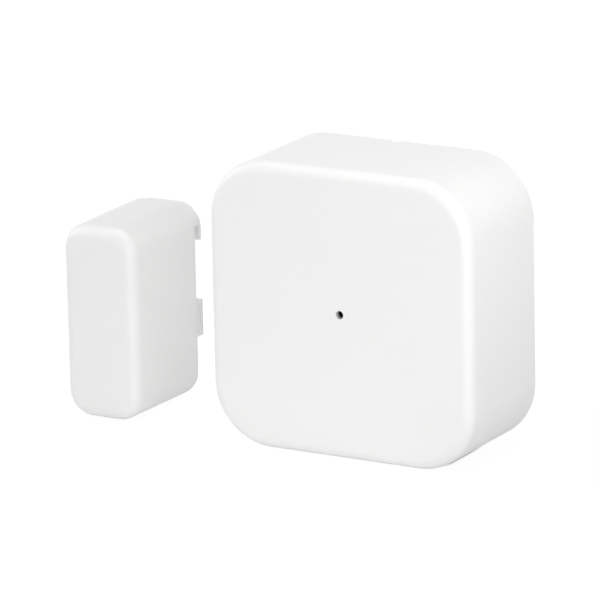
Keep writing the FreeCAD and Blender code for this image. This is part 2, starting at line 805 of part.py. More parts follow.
def status_led():
    body = sensor_body("status_led", dim.pinhole_x, board_front, dim.pinhole_z)
    base = depth_sketch(body, 0)
    rectangle(base, 0, 0, dim.led_width, dim.led_height)
    pad_forwards(body, base, dim.led_base)
    lens = depth_sketch(body, -dim.led_base)
    lens_width = dim.led_width - dim.led_lens_inset * 2
    lens_height = dim.led_height - dim.led_lens_inset
    rectangle(lens, 0, 0, lens_width, lens_height)
    pad_forwards(body, lens, dim.led_lens)
    round_edges(body, dim.led_lens_inset, at_depth(-dim.led_base - dim.led_lens))
    return body


def radio_chip():
    body = sensor_body("radio_chip", dim.chip_x, board_front, dim.chip_z)
    outline = depth_sketch(body, 0)
    rectangle(outline, 0, 0, dim.chip_size, dim.chip_size)
    pad_forwards(body, outline, dim.chip_thickness)
    mark = depth_sketch(body, -dim.chip_thickness)
    mark_place = dim.chip_size / 2 - dim.chip_mark_inset
    circle(mark, -mark_place, mark_place, dim.chip_mark_diameter / 2)
    cut_rearwards(body, mark, dim.chip_mark_depth)
    return body


def crystal():
    place_z = dim.chip_z + dim.chip_size / 2 + dim.crystal_gap + dim.crystal_height / 2
    body = sensor_body("crystal", dim.chip_x, board_front, place_z)
    base = depth_sketch(body, 0)
    rectangle(base, 0, 0, dim.crystal_width, dim.crystal_height)
    pad_forwards(body, base, dim.crystal_base)
    lid = depth_sketch(body, -dim.crystal_base)
    inset = dim.crystal_lid_inset
    rounded_rectangle(lid, 0, 0, dim.crystal_width - inset * 2, dim.crystal_height - inset * 2, inset)
    pad_forwards(body, lid, dim.crystal_lid)
    return body


def chip_antenna():
    body = sensor_body("chip_antenna", dim.antenna_x, board_front, board_half_height - dim.antenna_inset)
    outline = depth_sketch(body, 0)
    rectangle(outline, 0, 0, dim.antenna_width, dim.antenna_height)
    pad_forwards(body, outline, dim.antenna_thickness)
    chamfer_edges(body, dim.antenna_chamfer, at_depth(-dim.antenna_thickness))
    return body


def small_components():
    # Capacitors and resistors in two rows on the front of the board
    body = sensor_body("small_components", 0, board_front)
    small_row = depth_sketch(body, 0)
    for index in range(driving_sizes["small_count"]):
        x = dim.row_start + dim.small_pitch * index
        rectangle(small_row, x, dim.small_row_z, dim.small_width, dim.small_height)
    pad_forwards(body, small_row, dim.small_thickness)
    large_row = depth_sketch(body, 0)
    for index in range(driving_sizes["large_count"]):
        x = dim.row_start + dim.large_pitch * index
        rectangle(large_row, x, dim.large_row_z, dim.large_width, dim.large_height)
    pad_forwards(body, large_row, dim.large_thickness)
    return body


def battery_holder():
    body = sensor_body("battery_holder", 0, board_rear)
    bore = cell_radius + dim.holder_gap
    outer = bore + dim.holder_wall
    height = dim.holder_floor + dim.holder_side
    outline = depth_sketch(body, 0)
    circle(outline, 0, 0, outer)
    pad_rearwards(body, outline, height)
    pocket = depth_sketch(body, height)
    circle(pocket, 0, 0, bore)
    cut_forwards(body, pocket, dim.holder_side)
    finger_gaps = depth_sketch(body, height)
    gap_width = outer + dim.cut_past - cell_radius
    for sign in (1, -1):
        rectangle(finger_gaps, (cell_radius + gap_width / 2) * sign, 0, gap_width, dim.holder_cutout)
    cut_forwards(body, finger_gaps, dim.holder_side)

    # Room for the two contacts, through the floor
    contact_room = depth_sketch(body, height)
    clip_start = cell_radius + dim.positive_gap - dim.contact_gap
    clip_end = outer + dim.contact_gap
    clip_width = dim.positive_width + dim.contact_gap * 2
    rectangle(contact_room, 0, -(clip_start + clip_end) / 2, clip_width, clip_end - clip_start)
    leaf_width = dim.negative_width + dim.contact_gap * 2
    rectangle(contact_room, 0, 0, leaf_width, dim.negative_foot + dim.contact_gap * 2)
    cut_forwards(body, contact_room, height)

    pegs = depth_sketch(body, 0)
    for sign in (1, -1):
        circle(pegs, dim.peg_spacing / 2 * sign, 0, dim.peg_diameter / 2)
    pad_forwards(body, pegs, dim.board_thickness + dim.peg_proud)
    return body


def negative_contact():
    # A leaf spring that rises from the board to the cell's cap
    body = sensor_body("negative_contact", 0, board_rear)
    rise = dim.holder_floor + dim.contact_lift - dim.contact_thickness
    foot = dim.negative_foot / 2
    slope = dim.negative_slope_start / 2
    crown = dim.negative_crown / 2
    lower = [(0, foot), (0, slope), (rise, crown), (rise, -crown), (0, -slope), (0, -foot)]
    upper = [(y + dim.contact_thickness, z) for y, z in reversed(lower)]
    profile = plane_sketch(body, "YZ_Plane", 0)
    polygon(profile, lower + upper)
    pad_both_ways(body, profile, dim.negative_width)
    return body


def positive_contact():
    # A clip that rises beside the cell and folds over its rear face
    body = sensor_body("positive_contact", 0, board_rear)
    thick = dim.contact_thickness
    top = cell_rear - board_rear
    inner = -(cell_radius + dim.positive_gap)
    outer = inner - thick
    tip = inner + dim.positive_reach
    foot = outer - dim.positive_foot
    profile = plane_sketch(body, "YZ_Plane", 0)
    polygon(profile, [
        (0, foot), (0, inner), (top, inner), (top, tip),
        (top + thick, tip), (top + thick, outer), (thick, outer), (thick, foot),
    ])
    pad_both_ways(body, profile, dim.positive_width)
    return body


def coin_cell_can():
    body = sensor_body("coin_cell_can", 0, cell_front)
    outline = depth_sketch(body, dim.cell_cap_proud)
    circle(outline, 0, 0, cell_radius)
    pad_rearwards(body, outline, dim.cell_thickness - dim.cell_cap_proud)
    round_edges(body, dim.cell_round, at_depth(dim.cell_thickness))
    round_edges(body, dim.cell_mouth_round, at_depth(dim.cell_cap_proud))
    mouth = depth_sketch(body, dim.cell_cap_proud)
    circle(mouth, 0, 0, dim.cell_cap_diameter / 2 + dim.cell_seal_width)
    cut_rearwards(body, mouth, dim.cell_seal_depth)
    return body


def coin_cell_seal():
    body = sensor_body("coin_cell_seal", 0, cell_front)
    ring = depth_sketch(body, dim.cell_cap_proud)
    circle(ring, 0, 0, dim.cell_cap_diameter / 2 + dim.cell_seal_width)
    circle(ring, 0, 0, dim.cell_cap_diameter / 2)
    pad_rearwards(body, ring, dim.cell_seal_depth)
    return body


def coin_cell_cap():
    body = sensor_body("coin_cell_cap", 0, cell_front)
    outline = depth_sketch(body, 0)
    circle(outline, 0, 0, dim.cell_cap_diameter / 2)
    pad_rearwards(body, outline, dim.cell_cap_proud + dim.cell_seal_depth)
    round_edges(body, dim.cell_cap_round, at_depth(0))
    return body


def button_body(label):
    x = board_half_width - dim.button_inset
    z = board_half_height - dim.button_inset
    return sensor_body(label, x, board_rear, -z)


def button_case():
    body = button_body("button_case")
    outline = depth_sketch(body, 0)
    rectangle(outline, 0, 0, dim.button_size, dim.button_size)
    pad_rearwards(body, outline, case_height)
    cavity = depth_sketch(body, case_height)
    circle(cavity, 0, 0, cavity_radius)
    cut_forwards(body, cavity, case_height - dim.button_floor)
    return body


def button_plate():
    body = button_body("button_plate")
    outline = depth_sketch(body, case_height)
    rectangle(outline, 0, 0, dim.button_size, dim.button_size)
    circle(outline, 0, 0, dim.plunger_diameter / 2 + dim.plunger_gap)
    pad_rearwards(body, outline, dim.button_plate_thickness)
    return body


def button_dome():
    body = button_body("button_dome")
    thick = dim.dome_thickness
    rim = dim.dome_diameter / 2
    crown = dim.dome_crown / 2
    base = dim.button_floor
    top = base + dim.dome_height - thick
    profile = plane_sketch(body, "XY_Plane", 0)
    polygon(profile, [
        (0, top), (crown, top), (rim, base), (rim, base + thick), (crown, top + thick), (0, top + thick),
    ])
    revolve(body, profile)
    return body


def button_plunger():
    body = button_body("button_plunger")
    flange_top = case_height - dim.plunger_gap
    flange = depth_sketch(body, flange_top)
    circle(flange, 0, 0, dim.flange_diameter / 2)
    pad_forwards(body, flange, dim.flange_thickness)
    stem_length = dim.plunger_gap + dim.button_plate_thickness + dim.plunger_proud
    stem = depth_sketch(body, flange_top)
    circle(stem, 0, 0, dim.plunger_diameter / 2)
    pad_rearwards(body, stem, stem_length)
    round_edges(body, dim.plunger_round, at_depth(flange_top + stem_length))
    return body


# Magnet unit

def magnet_cover():
    body = magnet_body("magnet_cover")
    outline = depth_sketch(body, dim.magnet_depth)
    rounded_rectangle(outline, 0, 0, dim.magnet_width, dim.magnet_height, dim.magnet_corner)
    shell = pad_forwards(body, outline, dim.magnet_depth)
    shell.TaperAngle = -dim.magnet_draft.number
    shell.setExpression("TaperAngle", (-dim.magnet_draft).text)
    round_edges(body, dim.magnet_round, at_depth(0))
    round_edges(body, dim.magnet_rear_round, at_depth(dim.magnet_depth))
    hollow = depth_sketch(body, dim.magnet_depth)
    inner_width = dim.magnet_width - dim.magnet_wall * 2
    inner_height = dim.magnet_height - dim.magnet_wall * 2
    rounded_rectangle(hollow, 0, 0, inner_width, inner_height, dim.magnet_corner - dim.magnet_wall)
    cavity = cut_forwards(body, hollow, dim.magnet_depth - dim.magnet_front_wall)
    cavity.TaperAngle = -dim.magnet_draft.number
    cavity.setExpression("TaperAngle", (-dim.magnet_draft).text)

    # Ribs that press on the bar magnet
    ribs = depth_sketch(body, dim.magnet_front_wall)
    for sign in (1, -1):
        rectangle(ribs, 0, dim.hold_rib_spacing / 2 * sign, bar_width, dim.hold_rib_width)
    bar_front = dim.magnet_depth - dim.base_thickness - dim.cradle_height
    pad_rearwards(body, ribs, bar_front - dim.magnet_front_wall - dim.bar_gap)
    return body


def magnet_base():
    body = magnet_body("magnet_base")
    edge = dim.magnet_wall + dim.base_gap
    corner = dim.magnet_corner - edge
    width = dim.magnet_width - edge * 2
    height = dim.magnet_height - edge * 2
    plug = depth_sketch(body, dim.magnet_depth)
    rounded_rectangle(plug, 0, 0, width, height, corner)
    pad_forwards(body, plug, dim.base_thickness)

    # Skirt and magnet cradle on the inside. The skirt leans in with the cover's draft.
    inside = dim.magnet_depth - dim.base_thickness
    skirt = depth_sketch(body, inside)
    lean = dim.base_gap * 2
    wall = dim.base_skirt_wall
    rounded_rectangle(skirt, 0, 0, width - lean, height - lean, corner - lean / 2)
    rounded_rectangle(
        skirt, 0, 0, width - lean - wall * 2, height - lean - wall * 2, corner - lean / 2 - wall)
    pad_forwards(body, skirt, dim.base_skirt_height)
    cradle = depth_sketch(body, inside)
    seat_width = bar_width + dim.bar_gap * 2
    seat_height = bar_height + dim.bar_gap * 2
    rectangle(cradle, 0, 0, seat_width + dim.cradle_wall * 2, seat_height + dim.cradle_wall * 2)
    rectangle(cradle, 0, 0, seat_width - dim.cradle_ledge * 2, seat_height - dim.cradle_ledge * 2)
    pad_forwards(body, cradle, dim.cradle_height)
    seat = depth_sketch(body, inside - dim.cradle_height)
    rectangle(seat, 0, 0, seat_width, seat_height)
    cut_rearwards(body, seat, dim.bar_thickness)

    # Hooked rim: an upside-down U along the cover's outline, with a finger at each lower end
    rear = dim.magnet_depth
    rim = depth_sketch(body, rear)
    rim_height = dim.magnet_height / 2 - dim.rim_inset
    rounded_rectangle(rim, 0, 0, rim_outer * 2, rim_height * 2, rim_corner)
    rounded_rectangle(rim, 0, 0, rim_inner * 2, (rim_height - dim.rim_width) * 2, rim_inner_corner)
    pad_rearwards(body, rim, dim.hook_height)
    below = depth_sketch(body, rear + dim.hook_height)
    cut_height = finger_end + dim.magnet_height / 2
    rectangle(below, 0, finger_end - cut_height / 2, dim.magnet_width, cut_height)
    cut_forwards(body, below, dim.hook_height)

    # Tabs at mid height
    tab_x = (rim_outer + rim_inner) / 2
    tabs = depth_sketch(body, rear)
    for sign in (1, -1):
        rectangle(tabs, tab_x * sign, tab_middle, dim.rim_width, dim.tab_height)
    pad_rearwards(body, tabs, dim.hook_height)

    # Slots right through under the fingers. A tab has a pocket inside and a shallow groove outside.
    slots = depth_sketch(body, rear)
    slot_width = dim.rim_width + dim.slide_gap * 2
    slot_low = finger_end - dim.slide_gap
    pocket_height = dim.tab_height - dim.tab_bridge * 2
    pocket_start = rim_inner - dim.slide_gap
    groove_start = rim_outer - dim.tab_groove
    pocket_end = groove_start - dim.tab_wall
    groove_end = rim_outer + dim.slide_gap
    for sign in (1, -1):
        rectangle(slots, tab_x * sign, (slot_low + slot_end) / 2, slot_width, slot_end - slot_low)
        for start, end in ((pocket_start, pocket_end), (groove_start, groove_end)):
            rectangle(slots, (start + end) / 2 * sign, tab_middle, end - start, pocket_height)
    cut_rearwards(body, slots, dim.hook_slot)

    hook_rear = (rear + dim.hook_height).number

    def is_hook_edge(edge):
        box = edge.BoundBox
        at_rear = box.YLength < near and abs(box.YMin - hook_rear) < near
        return at_rear and max(abs(box.XMin), abs(box.XMax)) > rim_outer.number - near
    round_edges(body, dim.hook_round, is_hook_edge)
    return body


def bar_magnet():
    body = magnet_body("bar_magnet")
    front = dim.magnet_depth - dim.base_thickness - dim.cradle_height
    outline = depth_sketch(body, front)
    rectangle(outline, 0, 0, bar_width, bar_height)
    pad_rearwards(body, outline, dim.bar_thickness)
    rear = front + dim.bar_thickness
    chamfer_edges(body, dim.bar_chamfer, at_depth(front))
    chamfer_edges(body, dim.bar_chamfer, at_depth(rear))
    return body


def magnet_wall_plate():
    # Slides up between the tabs until its ears lie under the fingers
    body = magnet_body("magnet_wall_plate")
    front = dim.magnet_depth + dim.slide_gap
    plate = depth_sketch(body, front)
    rounded_rectangle(plate, 0, plate_middle, plate_half_width * 2, plate_high - plate_low, plate_corner)
    pad_rearwards(body, plate, dim.plate_thickness)
    ears = depth_sketch(body, front)
    ear_top = slot_end - dim.plate_gap
    ear_half = rim_inner + dim.ear_reach
    rectangle(ears, 0, ear_top - dim.ear_length / 2, ear_half * 2, dim.ear_length)
    pad_rearwards(body, ears, dim.ear_thickness)
    return body


def magnet_adhesive_pad():
    body = magnet_body("magnet_adhesive_pad")
    outline = depth_sketch(body, dim.magnet_depth + dim.slide_gap + dim.plate_thickness)
    width = (plate_half_width - dim.magnet_pad_side) * 2
    height = plate_high - plate_low - dim.magnet_pad_end * 2
    rounded_rectangle(outline, 0, plate_middle, width, height, dim.magnet_pad_corner)
    pad_rearwards(body, outline, dim.magnet_pad_thickness)
    return body


sub_parts = [
    front_housing(), rear_cover(), sensor_adhesive_pad(), circuit_board(), board_screws(),
    reed_glass(), reed_lead("reed_lead_upper", 1), reed_lead("reed_lead_lower", -1),
    status_led(), radio_chip(), crystal(), chip_antenna(), small_components(),
    battery_holder(), negative_contact(), positive_contact(),
    coin_cell_can(), coin_cell_seal(), coin_cell_cap(),
    button_case(), button_plate(), button_dome(), button_plunger(),
    magnet_cover(), magnet_base(), bar_magnet(), magnet_wall_plate(), magnet_adhesive_pad(),
]
doc.recompute()

# Every object has to be sound, every cut has to remove something and every pad has to add something
for item in doc.Objects:
    if "Invalid" in item.State or "Error" in item.State:
        raise RuntimeError("%s failed: %s" % (item.Name, item.State))
for body in sub_parts:
    if body.Shape.isNull() or not body.Shape.isValid():
        raise RuntimeError("%s has no sound shape" % body.Label)
    volume = 0.0
    for feature in body.Group:
        if feature.isDerivedFrom("PartDesign::Feature"):
            change = feature.Shape.Volume - volume
            volume = feature.Shape.Volume
            cuts = feature.TypeId == "PartDesign::Pocket"
            adds = feature.TypeId in ("PartDesign::Pad", "PartDesign::Revolution", "PartDesign::AdditivePipe")
            if (cuts and change >= 0) or (adds and change <= 0):
                raise RuntimeError("%s changes the volume by %.4f" % (feature.Name, change))

os.makedirs("parts", exist_ok=True)
for body in sub_parts:
    body.Shape.exportStep("parts/%s.step" % body.Label)
    print("%-20s solids %d  volume %9.3f mm3" % (body.Label, len(body.Shape.Solids), body.Shape.Volume))
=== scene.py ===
from math import radians

import bmesh
import bpy
from mathutils import Matrix, Vector


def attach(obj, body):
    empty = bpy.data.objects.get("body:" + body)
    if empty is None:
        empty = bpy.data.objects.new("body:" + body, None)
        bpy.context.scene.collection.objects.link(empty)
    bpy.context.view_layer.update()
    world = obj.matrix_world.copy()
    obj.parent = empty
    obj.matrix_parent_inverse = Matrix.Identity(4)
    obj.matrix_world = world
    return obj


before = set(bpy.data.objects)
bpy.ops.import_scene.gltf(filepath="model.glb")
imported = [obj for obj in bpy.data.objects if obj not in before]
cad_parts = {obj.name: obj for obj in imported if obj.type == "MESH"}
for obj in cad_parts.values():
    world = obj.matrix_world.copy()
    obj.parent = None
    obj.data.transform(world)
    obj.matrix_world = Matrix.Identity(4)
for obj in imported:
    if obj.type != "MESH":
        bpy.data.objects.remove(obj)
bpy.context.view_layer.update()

print("frame loaded:", len(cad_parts), "nodes")


# Shader maths

class Wire:
    # A socket that takes part in plain arithmetic
    def __init__(self, finish, socket):
        self.finish = finish
        self.socket = socket

    def maths(self, operation, first, second=0.0):
        return self.finish.node("ShaderNodeMath", {"operation": operation}, {0: first, 1: second})

    def __add__(self, other):
        return self.maths("ADD", self, other)

    def __sub__(self, other):
        return self.maths("SUBTRACT", self, other)

    def __rsub__(self, other):
        return self.maths("SUBTRACT", other, self)

    def __mul__(self, other):
        return self.maths("MULTIPLY", self, other)

    def __truediv__(self, other):
        return self.maths("DIVIDE", self, other)

    def __lt__(self, other):
        return self.maths("LESS_THAN", self, other)

    def __gt__(self, other):
        return self.maths("GREATER_THAN", self, other)

    def __abs__(self):
        return self.maths("ABSOLUTE", self)

    def pingPong(self, reach):
        # Runs from 0 up to the reach and back again, over and over
        return self.maths("PINGPONG", self, reach)

    __radd__ = __add__
    __rmul__ = __mul__


class Finish:
    # A material and the nodes in it
    def __init__(self, name, shader="ShaderNodeBsdfPrincipled"):
        self.material = bpy.data.materials.new(name)
        self.start(self.material, shader, "ShaderNodeOutputMaterial")

    def start(self, owner, shader, output):
        owner.use_nodes = True
        self.tree = owner.node_tree
        self.tree.nodes.clear()
        self.shader = self.tree.nodes.new(shader)
        surface = self.tree.nodes.new(output).inputs["Surface"]
        self.tree.links.new(self.shader.outputs[0], surface)

    def node(self, kind, settings=None, inputs=None, output=0):
        made = self.tree.nodes.new(kind)
        for name, value in (settings or {}).items():
            setattr(made, name, value)
        for name, value in (inputs or {}).items():
            self.feed(made.inputs[name], value)
        return Wire(self, made.outputs[output])

    def feed(self, socket, value):
        if isinstance(value, Wire):
            self.tree.links.new(value.socket, socket)
        else:
            socket.default_value = value

    def set(self, **values):
        # Values for the shader's own sockets, by name with the spaces left out
        names = {socket.name.replace(" ", ""): socket for socket in self.shader.inputs}
        for name, value in values.items():
            self.feed(names[name], value)

    def mix(self, share, first, second):
        # For a Mix Shader: the first shader where the share is 0, the second where it is 1
        for socket, value in zip(self.shader.inputs, (share, first, second)):
            self.feed(socket, value)

    def place(self):
        return self.node("ShaderNodeTexCoord", output="Object")

    def axes(self):
        split = self.tree.nodes.new("ShaderNodeSeparateXYZ")
        self.tree.links.new(self.place().socket, split.inputs[0])
        return [Wire(self, socket) for socket in split.outputs]

    def noise(self, size, detail=2.0, roughness=0.5, place=None):
        # Soft noise with features of this size, in metres
        inputs = {
            "Vector": place or self.place(), "Scale": 1.0 / size,
            "Detail": detail, "Roughness": roughness}
        return self.node("ShaderNodeTexNoise", None, inputs)

    def clamp(self, value):
        return self.node("ShaderNodeClamp", None, {0: value})

    def between(self, mask, first, second):
        # First colour where the mask is 0, second where it is 1
        inputs = {0: mask, 6: first, 7: second}
        return self.node("ShaderNodeMix", {"data_type": "RGBA"}, inputs, output=2)

    def bump(self, height, depth, under=None):
        inputs = {"Height": height, "Distance": depth, "Strength": 1.0}
        if under is not None:
            inputs["Normal"] = under
        return self.node("ShaderNodeBump", None, inputs)


def rgb(red, green, blue):
    return (red, green, blue, 1.0)


def tint(colour, factor):
    return rgb(*[min(1.0, part * factor) for part in colour[:3]])


def around(middle, spread, noise):
    # Varies about the middle value, by the spread from one end of the noise to the other
    return middle + (noise - 0.5) * spread


fineNoise = {"detail": 3.0, "roughness": 0.6}    # for grain and brushing


# Plastics

shellPlastic = {
    "colour": rgb(0.875, 0.871, 0.867),
    "shade": 0.985,              # the darker of the two whites that the resin varies between
    "cloudSize": 0.011,
    "cloudDetail": 3.0,
    "roughness": 0.42,
    "roughnessSpread": 0.06,
    "grainSize": 0.00011,        # spark-eroded mould texture
    "grainDepth": 0.0000022,
    "sinkSize": 0.007,           # slow waviness of a moulded wall
    "sinkDepth": 0.000012,
    "sinkDetail": 1.0,
    "ior": 1.5,
}
shadedMagnetPlastic = dict(shellPlastic, colour=rgb(0.848, 0.843, 0.839))    # the housing's white made darker as painted shade, for the less lit magnet unit
pinholeMiddle = (0.0002, 0.0202)     # x and z
pinholePaintedShade = {
    # Painted shade: black in the pinhole and the light well behind it, where the deep hole lies
    # in shade
    "colour": rgb(0.012, 0.012, 0.012),
    "middle": pinholeMiddle,
    "radius": 0.0019,
    "from": -0.0088,             # depth at which the painted shade starts
    "full": -0.0082,             # depth from which it covers
    "rear": -0.003,              # depth at which it ends
}


def pinholeShadeMask(finish, settings):
    # Where the pinhole's painted shade goes, fading in with depth
    x, y, z = finish.axes()
    across, up = [value - middle for value, middle in zip((x, z), settings["middle"])]
    near = (across * across + up * up) < settings["radius"] * settings["radius"]
    thickness = (y - settings["from"]) / (settings["full"] - settings["from"])
    return finish.clamp(thickness) * near * (y < settings["rear"])


def mouldedPlastic(name, settings, coat=None):
    finish = Finish(name)
    clouds = finish.noise(settings["cloudSize"], settings["cloudDetail"])
    grain = finish.noise(settings["grainSize"], **fineNoise)
    sink = finish.noise(settings["sinkSize"], settings["sinkDetail"])
    shaded = tint(settings["colour"], settings["shade"])
    colour = finish.between(clouds, shaded, settings["colour"])
    # The pinhole's painted shade: black inside the hole and the light well behind it
    if coat is not None:
        colour = finish.between(pinholeShadeMask(finish, coat), colour, coat["colour"])
    roughness = around(settings["roughness"], settings["roughnessSpread"], grain)
    wave = finish.bump(sink, settings["sinkDepth"])
    normal = finish.bump(grain, settings["grainDepth"], under=wave)
    finish.set(BaseColor=colour, Roughness=roughness, Normal=normal, IOR=settings["ior"])
    return finish.material


# Metals

metalGrain = {
    "lineSize": 0.00012,         # fine lines from drawing or brushing
    "brushStretch": 0.04,        # scale of their pattern along the brush, which draws them out
    "patchSize": 0.003,
    "shade": 0.9,                # the darker of the two tones
    "roughnessSpread": 0.16,
    "depth": 0.0000015,
}


def metalTones(finish, colour, place=None):
    # The fine lines and the colour of a bare metal
    lines = finish.noise(metalGrain["lineSize"], place=place, **fineNoise)
    patches = finish.noise(metalGrain["patchSize"])
    return lines, finish.between(patches, tint(colour, metalGrain["shade"]), colour)


def metal(name, colour, roughness, brushAxis=None):
    finish = Finish(name)
    place = finish.place()
    if brushAxis is not None:
        stretch = [1.0, 1.0, 1.0]
        stretch[brushAxis] = metalGrain["brushStretch"]
        place = finish.node("ShaderNodeMapping", None, {"Vector": place, "Scale": stretch})
    lines, tone = metalTones(finish, colour, place)
    finish.set(
        BaseColor=tone,
        Roughness=around(roughness, metalGrain["roughnessSpread"], lines),
        Normal=finish.bump(lines, metalGrain["depth"]),
        Metallic=1.0,
    )
    return finish.material


cellSettings = {
    "colour": rgb(0.71, 0.71, 0.72),
    "roughness": 0.24,
    "middle": 0.02,              # height of the cell's axis
    "stampedFrom": 0.0059,       # the plus sign is on the face behind this depth
    "plusArm": 0.00035,          # half the arm's width
    "plusReach": 0.0022,
    "plusShade": 0.55,
    "plusRoughness": 0.25,       # added to the steel's
    "plusDepth": 0.00008,
    "grainShare": 0.02,          # of the plus sign's depth
}


def cellCan(name, settings):
    finish = Finish(name)
    x, y, z = finish.axes()
    aside, upward = abs(x), abs(z - settings["middle"])
    arm, reach = settings["plusArm"], settings["plusReach"]
    level = (upward < arm) * (aside < reach)
    plumb = (aside < arm) * (upward < reach)
    plus = (level + plumb - level * plumb) * (y > settings["stampedFrom"])
    lines, steel = metalTones(finish, settings["colour"])
    sheen = around(settings["roughness"], metalGrain["roughnessSpread"], lines)
    finish.set(
        BaseColor=finish.between(plus, steel, tint(settings["colour"], settings["plusShade"])),
        Roughness=sheen + plus * settings["plusRoughness"],
        Normal=finish.bump(lines * settings["grainShare"] - plus, settings["plusDepth"]),
        Metallic=1.0,
    )
    return finish.material


# Foam of the pads, the board, glass and resins

foamSettings = {
    "cellSize": 0.00028,
    "fineSize": 0.0001,
    "colour": rgb(0.70, 0.71, 0.72),
    "edgeColour": rgb(0.56, 0.57, 0.59),     # between the cells
    "roughness": 0.82,
    "roughnessSpread": 0.2,
    "fineShare": 0.3,            # of the cells' depth
    "depth": 0.00004,
}


def foamPad(name, settings):
    finish = Finish(name)
    inputs = {"Vector": finish.place(), "Scale": 1.0 / settings["cellSize"]}
    cells = finish.node("ShaderNodeTexVoronoi", None, inputs)
    fine = finish.noise(settings["fineSize"])
    finish.set(
        BaseColor=finish.between(cells, settings["colour"], settings["edgeColour"]),
        Roughness=around(settings["roughness"], settings["roughnessSpread"], fine),
        Normal=finish.bump(cells * -1.0 + fine * settings["fineShare"], settings["depth"]),
    )
    return finish.material


boardSettings = {
    "mask": rgb(0.010, 0.085, 0.035),    # solder mask over bare laminate
    "track": rgb(0.022, 0.15, 0.06),     # solder mask over copper
    "tin": rgb(0.72, 0.71, 0.68),
    "trackPitch": 0.0011,
    "trackWidth": 0.00042,
    "patternShift": 1.0,         # keeps x and z above 0
    "regionSize": 0.0045,        # tracks run one way within a region
    "uprightAbove": 0.5,         # level above which a region's tracks run upright
    "pourSize": 0.006,           # copper poured in patches
    "pourDetail": 1.0,
    "pourAbove": 0.56,           # level of the noise above which there is a patch
    "viaSpacing": 0.0021,
    "viaRadius": 0.11,           # as a share of the spacing
    "viaAbove": 0.55,            # level above which a cell has a via
    "weaveScale": 260.0,         # glass cloth in the laminate
    "roughness": 0.33,
    "weaveRoughness": 0.06,
    "weaveShare": 0.15,          # of the copper's thickness
    "copperDepth": 0.00002,
    "coat": 0.3,
}


def boardLaminate(name, settings):
    finish = Finish(name)
    x, _, z = finish.axes()
    place = finish.place()

    def voronoi(size, output, mode=None):
        inputs = {"Vector": place, "Scale": 1.0 / size}
        return finish.node("ShaderNodeTexVoronoi", mode, inputs, output)

    def stripesAlong(axis):
        fromLine = (axis + settings["patternShift"]).pingPong(settings["trackPitch"] / 2)
        return fromLine < settings["trackWidth"] / 2

    region = voronoi(settings["regionSize"], 1, {"distance": "CHEBYCHEV"})
    upright = region > settings["uprightAbove"]
    stripes = upright * stripesAlong(x) + (1 - upright) * stripesAlong(z)
    pour = finish.noise(settings["pourSize"], settings["pourDetail"]) > settings["pourAbove"]
    copper = pour + (1 - pour) * stripes
    dots = voronoi(settings["viaSpacing"], 0) < settings["viaRadius"]
    vias = dots * (voronoi(settings["viaSpacing"], 1) > settings["viaAbove"])
    inputs = {"Vector": place, "Scale": settings["weaveScale"]}
    weave = finish.node("ShaderNodeTexWave", {"bands_direction": "X"}, inputs)
    green = finish.between(copper, settings["mask"], settings["track"])
    finish.set(
        BaseColor=finish.between(vias, green, settings["tin"]),
        Metallic=vias,
        Roughness=settings["roughness"] + weave * settings["weaveRoughness"],
        Normal=finish.bump(copper + weave * settings["weaveShare"], settings["copperDepth"]),
        CoatWeight=settings["coat"] * (1 - vias),
    )
    return finish.material


glassSettings = {
    "streakSize": 0.0012,
    "colour": rgb(0.86, 0.97, 0.90),
    "streakColour": rgb(0.78, 0.93, 0.84),
    "roughness": 0.02,
    "streakRoughness": 0.03,
    "streakDepth": 0.000004,
    "ior": 1.5,
}


def clearGlass(name, settings):
    finish = Finish(name)
    streaks = finish.noise(settings["streakSize"])
    finish.set(
        BaseColor=finish.between(streaks, settings["streakColour"], settings["colour"]),
        Roughness=settings["roughness"] + streaks * settings["streakRoughness"],
        Normal=finish.bump(streaks, settings["streakDepth"]),
        TransmissionWeight=1.0,
        IOR=settings["ior"],
    )
    return finish.material


resinSpeckle = {
    "size": 0.00009,
    "detail": 3.0,
    "contrast": 0.65,
    "shade": 0.8,                # the darker of the two tones
    "light": 1.2,                # the lighter one
    "roughnessSpread": 0.15,
    "depth": 0.000004,
}


def resin(name, colour, roughness):
    finish = Finish(name)
    grain = resinSpeckle
    speckle = finish.noise(grain["size"], grain["detail"], grain["contrast"])
    darker, lighter = tint(colour, grain["shade"]), tint(colour, grain["light"])
    finish.set(
        BaseColor=finish.between(speckle, darker, lighter),
        Roughness=around(roughness, grain["roughnessSpread"], speckle),
        Normal=finish.bump(speckle, grain["depth"]),
    )
    return finish.material


antennaCeramic = {
    "colour": rgb(0.80, 0.80, 0.76),
    "start": -0.004,             # x of the first part's middle
    "pitch": 0.02,
    "width": 0.007,
    "cap": 0.0007,               # length of the tinned cap at each end
}
chipPartCeramic = {
    "colour": rgb(0.42, 0.30, 0.19),
    "start": 0.0044,
    "pitch": 0.0017,
    "width": 0.001,
    "cap": 0.0002,
}
ceramicGrain = {
    "tin": rgb(0.72, 0.72, 0.71),
    "size": 0.00015,
    "detail": 3.0,
    "shade": 0.85,               # the darker of the two tones
    "roughness": 0.45,
    "roughnessSpread": 0.2,
    "depth": 0.000005,
}


def endCaps(name, settings):
    # Chip parts in a row along x: a ceramic body with a tinned cap at each end
    finish = Finish(name)
    grain = ceramicGrain
    x = finish.axes()[0]
    fromMiddle = (x - settings["start"]).pingPong(settings["pitch"] / 2)
    caps = fromMiddle > settings["width"] / 2 - settings["cap"]
    speckle = finish.noise(grain["size"], grain["detail"])
    body = finish.between(speckle, tint(settings["colour"], grain["shade"]), settings["colour"])
    finish.set(
        BaseColor=finish.between(caps, body, grain["tin"]),
        Metallic=caps,
        Roughness=around(grain["roughness"], grain["roughnessSpread"], speckle),
        Normal=finish.bump(speckle, grain["depth"]),
    )
    return finish.material


